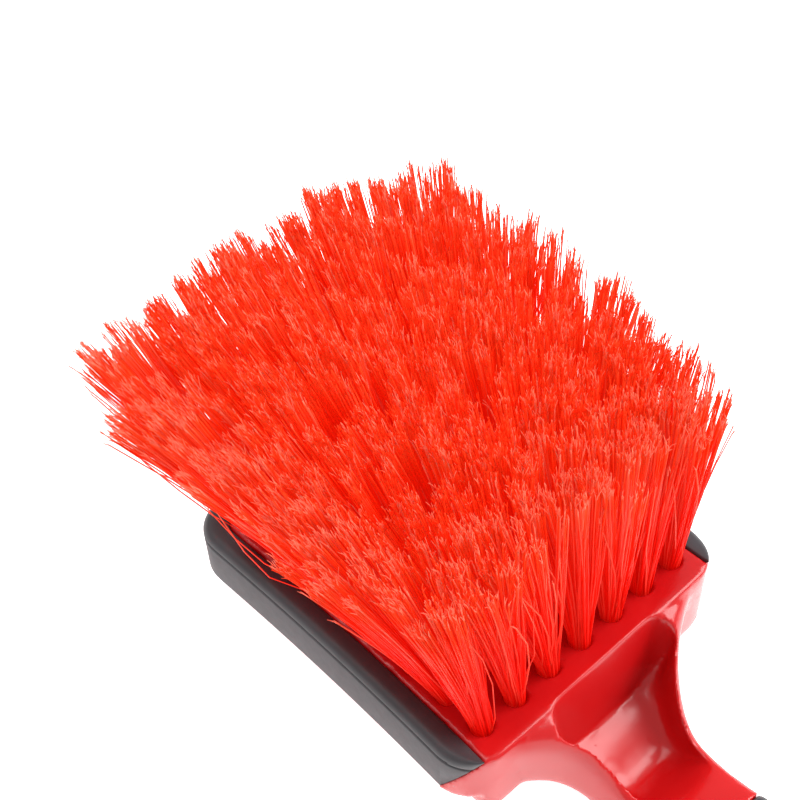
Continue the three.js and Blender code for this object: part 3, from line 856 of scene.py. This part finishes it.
def tuft_mesh(seat, lean_x, lean_y, outside_tuft, rng):
    """One tuft. A filament starts at a point of the hole's disc, and its tip is that point pushed
    outwards by the tuft's spread and drawn towards one of a few clumps, then leaned. Between, it
    follows a blend of a straight line and a parabola, with a slow bend and a fine crimp."""
    count = FILAMENTS
    radius = np.sqrt(rng.random(count))
    angle = rng.random(count) * 2 * np.pi
    disc = np.stack([radius * np.cos(angle), radius * np.sin(angle)], axis=-1)
    root = disc * (HOLE_RADIUS - 0.1 * MM)
    # Clump centres on a sunflower pattern over the tuft's tip.
    order = np.arange(CLUMPS) + 0.5
    golden = order * math.pi * (3 - math.sqrt(5)) + rng.random() * 6.28
    centres = np.sqrt(order / CLUMPS)[:, None] * np.stack([np.cos(golden), np.sin(golden)], axis=-1)
    nearest = np.linalg.norm(disc[:, None] - centres[None], axis=-1).argmin(1)
    pull = LEAST_PULL + MORE_PULL * rng.random(CLUMPS)
    drift = rng.normal(0, CLUMP_DRIFT, (CLUMPS, 2))
    aim = disc + (centres[nearest] - disc) * pull[nearest, None] + drift[nearest]
    aim += rng.normal(0, AIM_SCATTER, (count, 2))
    loose = (rng.random(count) < (LOOSE_OUTSIDE if outside_tuft else LOOSE_INSIDE))[:, None]
    aim += loose * rng.normal(0, LOOSE_AIM_SCATTER, (count, 2))
    aim *= np.minimum(1, WIDEST_AIM / np.maximum(np.linalg.norm(aim, axis=-1, keepdims=True), 1e-9))
    clump_length = rng.normal(0, CLUMP_LENGTH_SCATTER, CLUMPS) + rng.normal(0, LENGTH_SCATTER)
    own_length = rng.normal(0, FILAMENT_LENGTH_SCATTER, count)
    length = BRISTLE_LENGTH * (MEAN_LENGTH + clump_length[nearest] + own_length)
    length = np.minimum(length, BRISTLE_LENGTH * MOST_LENGTH)
    length = length * (1 - LOOSE_SHORTER * loose[:, 0] * rng.random(count))
    splay = aim * TIP_SPREAD
    # Direction of the line from root to tip, then the tip's height for this length.
    reach = np.stack([math.tan(lean_x) * BRISTLE_LENGTH + splay[:, 0] - root[:, 0],
                      math.tan(lean_y) * BRISTLE_LENGTH + splay[:, 1] - root[:, 1]], axis=-1)
    reach = reach / BRISTLE_LENGTH
    height = length / np.sqrt(1 + (reach**2).sum(-1))
    split = FLAG_START + FLAG_LATER * rng.random(count)
    share = np.array([-0.22, 0.0, 0.14, 0.32, 0.52, 0.76, 1.0])
    t = share[None] * np.where(share > 0, split[:, None], 0.9)
    outside = np.maximum(t, 0)
    bowed = 0.85 * outside + 0.15 * outside**2
    bend = rng.normal(0, BEND, (count, 2)) * (1 + 3 * loose)
    crimp = rng.normal(0, CRIMP, (count, 2)) * (1 + 6 * loose)
    phase = rng.random(count) * 6.28

    def at(outside, bowed):
        """Points of the filaments at shares of their height."""
        flat = root[:, None] + reach[:, None] * (height[:, None] * bowed)[..., None]
        flat = flat + bend[:, None] * np.sin(np.pi * outside)[..., None]
        wave = np.sin(outside * 21 + phase[:, None]) * np.minimum(outside * 3, 1)
        return flat + crimp[:, None] * wave[..., None]

    flat = at(outside, bowed)
    shafts = np.concatenate([flat, (t * height[:, None])[..., None]], axis=-1)
    shaft_radii = FILAMENT_RADIUS * (1 + 0.12 * rng.normal(0, 1, count))[:, None]
    shaft_radii = np.clip(shaft_radii, THINNEST, THICKEST) * np.linspace(1, 0.86, len(share))[None]
    hint = rng.normal(0, 1, (count, 1, 3))
    parts = [tubes(shafts, shaft_radii, hint)]
    shares = [np.repeat(np.clip(t, 0, 1)[..., None], 3, axis=-1).ravel()]
    # A high tone also carries the painted sheen; the rest of the tone is random colour from filament to
    # filament.
    sheen_power = SHEEN_OUTSIDE if outside_tuft else SHEEN_INSIDE
    strand_tone = np.where(loose[:, 0], 1.0, rng.random(count) ** sheen_power)
    tones = [np.repeat(strand_tone, len(share) * 3)]
    # Flagged ends: each hair leaves the shaft's end along its tangent and curls away from it.
    end, before = shafts[:, -1], shafts[:, -2]
    ahead = unit(end - before)
    for _ in range(HAIRS):
        remain = (1 - split) * length * (0.55 + 0.5 * rng.random(count))
        away = rng.normal(0, 1, (count, 3))
        away = unit(away - (away * ahead).sum(-1, keepdims=True) * ahead)
        curl = rng.normal(0, 0.10, (count, 1)) + 0.12
        second = rng.normal(0, 1, (count, 3)) * 0.07
        s = np.array([0.0, 0.3, 0.65, 1.0])
        offset = ahead[:, None] * s[:, None] + away[:, None] * (curl[:, None] * (s**1.5)[:, None])
        offset = offset + second[:, None] * (s**3)[:, None]
        start = end - ahead * 0.2 * MM + away * 0.06 * MM
        hairs = start[:, None] + offset * remain[:, None, None]
        hair_radii = HAIR_RADIUS * np.array([1.25, 1.0, 0.85, 0.45])[None] * np.ones((count, 1))
        parts.append(tubes(hairs, hair_radii, rng.normal(0, 1, (count, 1, 3))))
        along = split[:, None] + (1 - split[:, None]) * s[None]
        shares.append(np.repeat(along[..., None], 3, axis=-1).ravel())
        tones.append(np.repeat(strand_tone, len(s) * 3))
    offsets = np.cumsum([0] + [len(p[0]) for p in parts[:-1]])
    vertices = np.concatenate([p[0] for p in parts]) + seat
    quads = np.concatenate([p[1] + o for p, o in zip(parts, offsets)])
    caps = np.concatenate([p[2] + o for p, o in zip(parts, offsets)])
    return vertices, quads, caps, np.concatenate(shares), np.concatenate(tones)


bristle_paint = Paint("flagged_filament")
along = bristle_paint.add("ShaderNodeAttribute", {"attribute_name": "along"}, output="Fac")
tone = bristle_paint.add("ShaderNodeAttribute", {"attribute_name": "tone"}, output="Fac")
bristle_ramp = bristle_paint.add(
    "ShaderNodeValToRGB",
    {"stops": (
        (0.0, srgb(236, 20, 10)),
        (0.45, srgb(252, 38, 14)),
        (0.80, srgb(255, 66, 22)),
        (0.96, srgb(255, 88, 38)),
        (0.985, srgb(255, 106, 58)),
        (1.0, srgb(255, 160, 126)),
    )},
    (along + 0.12 * (tone - 0.5)).clamped(),
)
# Painted sheen: filaments of a high tone are painted paler along their whole length, more so towards
# the tips, for the reflection of the white surroundings along their shafts: about one in six, and
# about half of those in the near row and the left column.
painted_sheen = ((tone - 0.75) * 4.0).clamped() * (0.12 + 0.55 * along)
# The pale salmon mixed in here is the painted sheen colour, not the nylon's own colour.
bristle_colour = bristle_paint.add(
    "ShaderNodeMixRGB", {}, painted_sheen, bristle_ramp, srgb(242, 132, 106), output="Color"
)
bristle_surface_and_painted_glow = bristle_paint.add(
    "ShaderNodeBsdfPrincipled",
    {},
    Base_Color=bristle_colour,
    Roughness=0.38,
    Specular_IOR_Level=0.16,
    # Emission in the filaments' own colour is a painted glow, for light passing through the nylon.
    Emission_Color=bristle_colour,
    Emission_Strength=0.21,
)
bristle_glow = bristle_paint.add("ShaderNodeBsdfTranslucent", {}, srgb(255, 66, 26))
bristle_material = bristle_paint.finish(
    bristle_paint.add("ShaderNodeMixShader", {}, 0.5, bristle_surface_and_painted_glow, bristle_glow)
)

for row in range(ROWS):
    for column in range(COLUMNS):
        rng = np.random.default_rng(1000 + row * COLUMNS + column)
        row_share, column_share = row / (ROWS - 1), column / (COLUMNS - 1)
        lean_x = between(LEANS_ALONG, row_share, column_share)
        lean_y = between(LEANS_ACROSS, row_share, column_share)
        lean_x += rng.normal(0, LEAN_SCATTER)
        lean_y += rng.normal(0, LEAN_SCATTER)
        outside_tuft = row == 0 or column == 0
        seat = tuft_seats[row * COLUMNS + column]
        vertices, quads, caps, shares, tones = tuft_mesh(seat, lean_x, lean_y, outside_tuft, rng)
        tuft = new_piece(f"bristles_r{row + 1}_c{column + 1}", from_head(vertices), quads, caps)
        for attribute, values in (("along", shares), ("tone", tones)):
            layer = tuft.data.attributes.new(attribute, "FLOAT", "POINT")
            layer.data.foreach_set("value", values.astype(np.float32))
        tuft.data.materials.append(bristle_material)
        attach(tuft, "root")
        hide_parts(f"tuft_r{row + 1}_c{column + 1}")


# ---------------------------------------------------------------------------------------------
# Tuft anchors: flat wires of brassy steel at the bottoms of the holes, one for each tuft. Each is
# driven in edgewise across its hole, bites into the wall at both ends and holds the folded tuft.
# ---------------------------------------------------------------------------------------------
ANCHOR_LENGTH = 4.0 * MM
ANCHOR_THICKNESS = 0.5 * MM
ANCHOR_HEIGHT = 1.8 * MM
ANCHOR_LIFT = 1.0 * MM

anchor_turn = np.array([math.pi / 4, 3 * math.pi / 4, 5 * math.pi / 4, 7 * math.pi / 4])
anchor_plan = np.sqrt(0.5) * np.stack([
    np.cos(anchor_turn) * ANCHOR_THICKNESS,
    np.sin(anchor_turn) * ANCHOR_LENGTH,
    np.zeros(4),
], axis=-1)
anchor_rings = np.stack([anchor_plan, anchor_plan + [0, 0, ANCHOR_HEIGHT]])
one_anchor = skin(anchor_rings)
anchor_seats = tuft_seats - [0, 0, HOLE_DEPTH - ANCHOR_LIFT]
anchor_step = (np.arange(len(tuft_seats)) * len(one_anchor[0]))[:, None, None]
anchors = new_piece(
    "tuft_anchors",
    from_head((one_anchor[0][None] + anchor_seats[:, None]).reshape(-1, 3)),
    (one_anchor[1][None] + anchor_step).reshape(-1, 4),
    (one_anchor[2][None] + anchor_step).reshape(-1, 3),
    smooth=False,
)
anchor_paint = Paint("brassy_steel")
anchor_place = anchor_paint.add("ShaderNodeTexCoord", {}, output="Object")
anchor_gloss = 0.28 + 0.2 * anchor_paint.add(
    "ShaderNodeTexNoise", {}, Vector=anchor_place, Scale=900.0, Detail=2.0
)
anchors.data.materials.append(anchor_paint.finish(anchor_paint.add(
    "ShaderNodeBsdfPrincipled",
    {},
    Base_Color=srgb(196, 178, 130),
    Metallic=1.0,
    Roughness=anchor_gloss,
)))
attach(anchors, "root")
